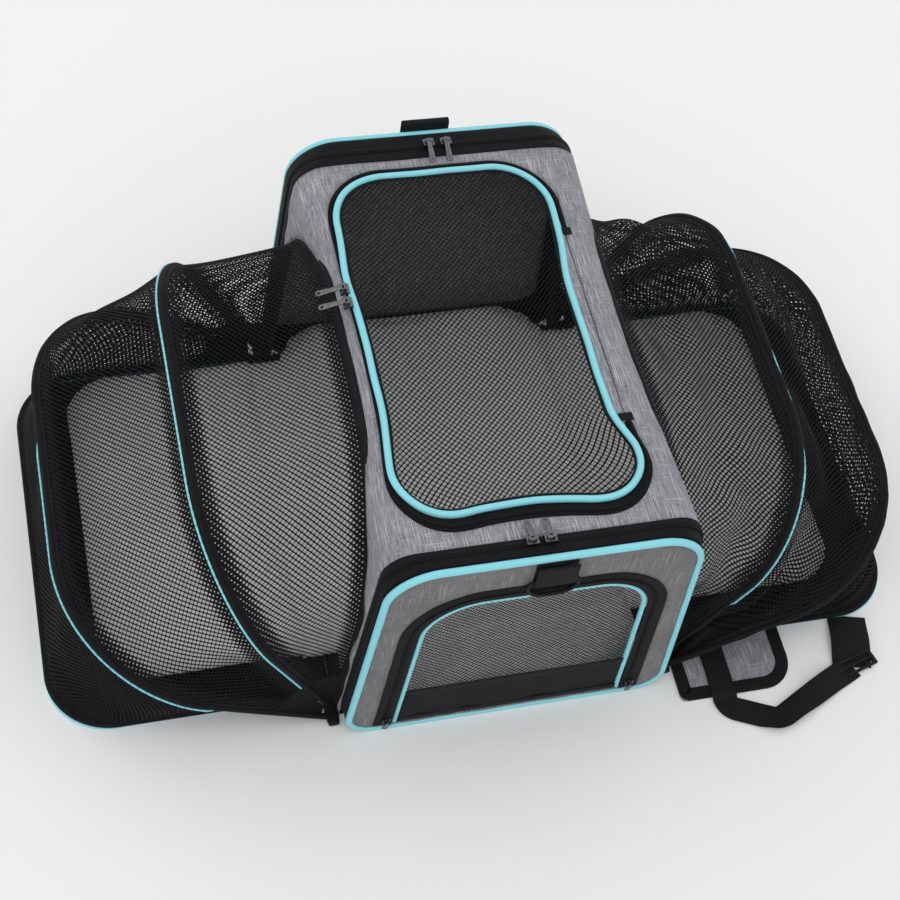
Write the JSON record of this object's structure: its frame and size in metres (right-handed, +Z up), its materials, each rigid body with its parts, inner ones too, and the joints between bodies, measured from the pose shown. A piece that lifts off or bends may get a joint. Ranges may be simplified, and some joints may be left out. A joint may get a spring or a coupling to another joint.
{
  "type": "pet carrier bag",
  "caption": "Soft-sided pet carrier bag with mesh windows and two side wings that fold down to make wider tented rooms.",
  "frame": {"origin": "on the floor, under the middle of the cabin, with both wings open", "axes": "+X to the right wing, +Y to the back end, +Z up"},
  "size_m": [0.8058, 0.5308, 0.2893],
  "materials": {
    "grey_cloth": "heather polyester, plain weave",
    "fleece": "short white fleece",
    "board_cover": "black nylon over a board",
    "mesh": "open knitted mesh",
    "bow_sleeve": "black sleeve over a bow, with fine piping",
    "piping": "smooth corded piping",
    "zip_tape": "woven zip tape with a nylon coil",
    "zip_metal": "gunmetal, polished",
    "wire": "drawn wire",
    "plastic": "moulded, fine texture",
    "skirt_cloth": "black nylon",
    "binding": "black woven binding",
    "webbing": "black ribbed webbing"
  },
  "bodies": {
    "bag_body": {"base_board": "board_cover", "cabin_pad": "fleece", "top_panel": "grey_cloth", "side_walls": "grey_cloth", "front_panel": "grey_cloth", "back_panel": "grey_cloth", "front_piping": "piping", "back_piping": "piping", "front_zip": "zip_tape", "back_zip": "zip_tape", "wire_frames": "wire", "hatch_zip": "zip_tape", "door_zip": "zip_tape", "opening_bindings": "binding", "hinge_rolls": "binding", "strap_loops": "webbing", "left_hood_a": "mesh", "right_hood_a": "mesh"},
    "left_bow_1": {"left_bow_1": "bow_sleeve", "left_hood_b": "mesh"},
    "left_bow_2": {"left_bow_2": "bow_sleeve", "left_hood_c": "mesh"},
    "left_wing": {"left_wing_board": "board_cover", "left_wing_skin": "grey_cloth", "left_wing_piping": "piping", "left_wing_pad": "fleece"},
    "right_bow_1": {"right_bow_1": "bow_sleeve", "right_hood_b": "mesh"},
    "right_bow_2": {"right_bow_2": "bow_sleeve", "right_hood_c": "mesh"},
    "right_wing": {"right_wing_board": "board_cover", "right_wing_skin": "grey_cloth", "right_wing_piping": "piping", "right_wing_pad": "fleece", "side_pocket": "grey_cloth", "side_strap": "webbing", "strap_adjuster": "plastic"},
    "hatch": {"hatch_mesh": "mesh", "hatch_piping": "piping"},
    "front_door": {"door_mesh": "mesh", "door_skirt": "skirt_cloth", "door_piping": "piping"},
    "d_ring": {"d_ring": "plastic"},
    "front_slider_l": {"front_slider_l": "zip_metal"},
    "front_pull_l": {"front_pull_l": "zip_metal"},
    "front_slider_r": {"front_slider_r": "zip_metal"},
    "front_pull_r": {"front_pull_r": "zip_metal"},
    "back_slider_l": {"back_slider_l": "zip_metal"},
    "back_pull_l": {"back_pull_l": "zip_metal"},
    "back_slider_r": {"back_slider_r": "zip_metal"},
    "back_pull_r": {"back_pull_r": "zip_metal"},
    "hatch_slider_f": {"hatch_slider_f": "zip_metal"},
    "hatch_pull_f": {"hatch_pull_f": "zip_metal"},
    "hatch_slider_b": {"hatch_slider_b": "zip_metal"},
    "hatch_pull_b": {"hatch_pull_b": "zip_metal"},
    "door_slider_l": {"door_slider_l": "zip_metal"},
    "door_pull_l": {"door_pull_l": "zip_metal"},
    "door_slider_r": {"door_slider_r": "zip_metal"},
    "door_pull_r": {"door_pull_r": "zip_metal"}
  },
  "joints": [
    {"name": "left_bow_1_fold", "type": "hinge", "parent": "bag_body", "child": "left_bow_1", "pos_m": [-0.158, 0, 0.0054], "axis": [0, 1, 0], "range_deg": [0, 28.6], "deforming": ["left_hood_a"]},
    {"name": "left_bow_2_fold", "type": "hinge", "parent": "left_bow_1", "child": "left_bow_2", "pos_m": [-0.158, 0, 0.0054], "axis": [0, 1, 0], "range_deg": [0, 35.1], "deforming": ["left_hood_b"]},
    {"name": "left_wing_fold", "type": "hinge", "parent": "left_bow_2", "child": "left_wing", "pos_m": [-0.158, 0, 0.0054], "axis": [0, 1, 0], "range_deg": [0, 26.5], "deforming": ["left_hood_c"]},
    {"name": "right_bow_1_fold", "type": "hinge", "parent": "bag_body", "child": "right_bow_1", "pos_m": [0.158, 0, 0.0054], "axis": [0, -1, 0], "range_deg": [0, 28.6], "deforming": ["right_hood_a"]},
    {"name": "right_bow_2_fold", "type": "hinge", "parent": "right_bow_1", "child": "right_bow_2", "pos_m": [0.158, 0, 0.0054], "axis": [0, -1, 0], "range_deg": [0, 35.1], "deforming": ["right_hood_b"]},
    {"name": "right_wing_fold", "type": "hinge", "parent": "right_bow_2", "child": "right_wing", "pos_m": [0.158, 0, 0.0054], "axis": [0, -1, 0], "range_deg": [0, 26.5], "deforming": ["right_hood_c"]},
    {"name": "hatch_hinge", "type": "hinge", "parent": "bag_body", "child": "hatch", "pos_m": [0.0926, 0, 0.2822], "axis": [0, 1, 0], "range_deg": [0, 150]},
    {"name": "door_hinge", "type": "hinge", "parent": "bag_body", "child": "front_door", "pos_m": [0, -0.2286, 0.0103], "axis": [1, 0, 0], "range_deg": [0, 88]},
    {"name": "ring_swing", "type": "hinge", "parent": "bag_body", "child": "d_ring", "pos_m": [0.004, -0.2324, 0.249], "axis": [-1, 0, 0], "range_deg": [0, 150]},
    {"name": "front_zip_l", "type": "slide", "parent": "bag_body", "child": "front_slider_l", "axis": [-1, 0, 0], "range_m": [0, 0.07]},
    {"name": "front_pull_l_swing", "type": "hinge", "parent": "front_slider_l", "child": "front_pull_l", "pos_m": [-0.015, -0.2125, 0.28745], "axis": [1, 0, 0], "range_deg": [0, 150]},
    {"name": "front_zip_r", "type": "slide", "parent": "bag_body", "child": "front_slider_r", "axis": [1, 0, 0], "range_m": [0, 0.07]},
    {"name": "front_pull_r_swing", "type": "hinge", "parent": "front_slider_r", "child": "front_pull_r", "pos_m": [0, -0.2125, 0.28745], "axis": [1, 0, 0], "range_deg": [0, 150]},
    {"name": "back_zip_l", "type": "slide", "parent": "bag_body", "child": "back_slider_l", "axis": [-1, 0, 0], "range_m": [0, 0.07]},
    {"name": "back_pull_l_swing", "type": "hinge", "parent": "back_slider_l", "child": "back_pull_l", "pos_m": [-0.007, 0.2091, 0.28745], "axis": [-1, 0, 0], "range_deg": [0, 150]},
    {"name": "back_zip_r", "type": "slide", "parent": "bag_body", "child": "back_slider_r", "axis": [1, 0, 0], "range_m": [0, 0.07]},
    {"name": "back_pull_r_swing", "type": "hinge", "parent": "back_slider_r", "child": "back_pull_r", "pos_m": [0.009, 0.2091, 0.28745], "axis": [-1, 0, 0], "range_deg": [0, 150]},
    {"name": "hatch_zip_f", "type": "slide", "parent": "bag_body", "child": "hatch_slider_f", "axis": [0, -1, 0], "range_m": [0, 0.14]},
    {"name": "hatch_pull_f_swing", "type": "hinge", "parent": "hatch_slider_f", "child": "hatch_pull_f", "pos_m": [-0.1146, 0.038, 0.28715], "axis": [0, 1, 0], "range_deg": [0, 150]},
    {"name": "hatch_zip_b", "type": "slide", "parent": "bag_body", "child": "hatch_slider_b", "axis": [0, 1, 0], "range_m": [0, 0.06]},
    {"name": "hatch_pull_b_swing", "type": "hinge", "parent": "hatch_slider_b", "child": "hatch_pull_b", "pos_m": [-0.1146, 0.053, 0.28715], "axis": [0, 1, 0], "range_deg": [0, 150]},
    {"name": "door_zip_l", "type": "slide", "parent": "bag_body", "child": "door_slider_l", "axis": [0.052, 0, 0.9986], "range_m": [0, 0.12]},
    {"name": "door_pull_l_swing", "type": "hinge", "parent": "door_slider_l", "child": "door_pull_l", "pos_m": [-0.1139, -0.23575, 0.024], "axis": [-0.9986, 0, 0.052], "range_deg": [0, 120]},
    {"name": "door_zip_r", "type": "slide", "parent": "bag_body", "child": "door_slider_r", "axis": [-0.052, 0, 0.9986], "range_m": [0, 0.12]},
    {"name": "door_pull_r_swing", "type": "hinge", "parent": "door_slider_r", "child": "door_pull_r", "pos_m": [0.1139, -0.23575, 0.024], "axis": [-0.9986, 0, -0.052], "range_deg": [0, 120]}
  ],
  "couplings": [
    {"joint": "left_bow_1_fold", "follows": "left_wing_fold", "ratio": 1.0755},
    {"joint": "left_bow_2_fold", "follows": "left_wing_fold", "ratio": 1.3208},
    {"joint": "right_bow_1_fold", "follows": "right_wing_fold", "ratio": 1.0755},
    {"joint": "right_bow_2_fold", "follows": "right_wing_fold", "ratio": 1.3208}
  ]
}
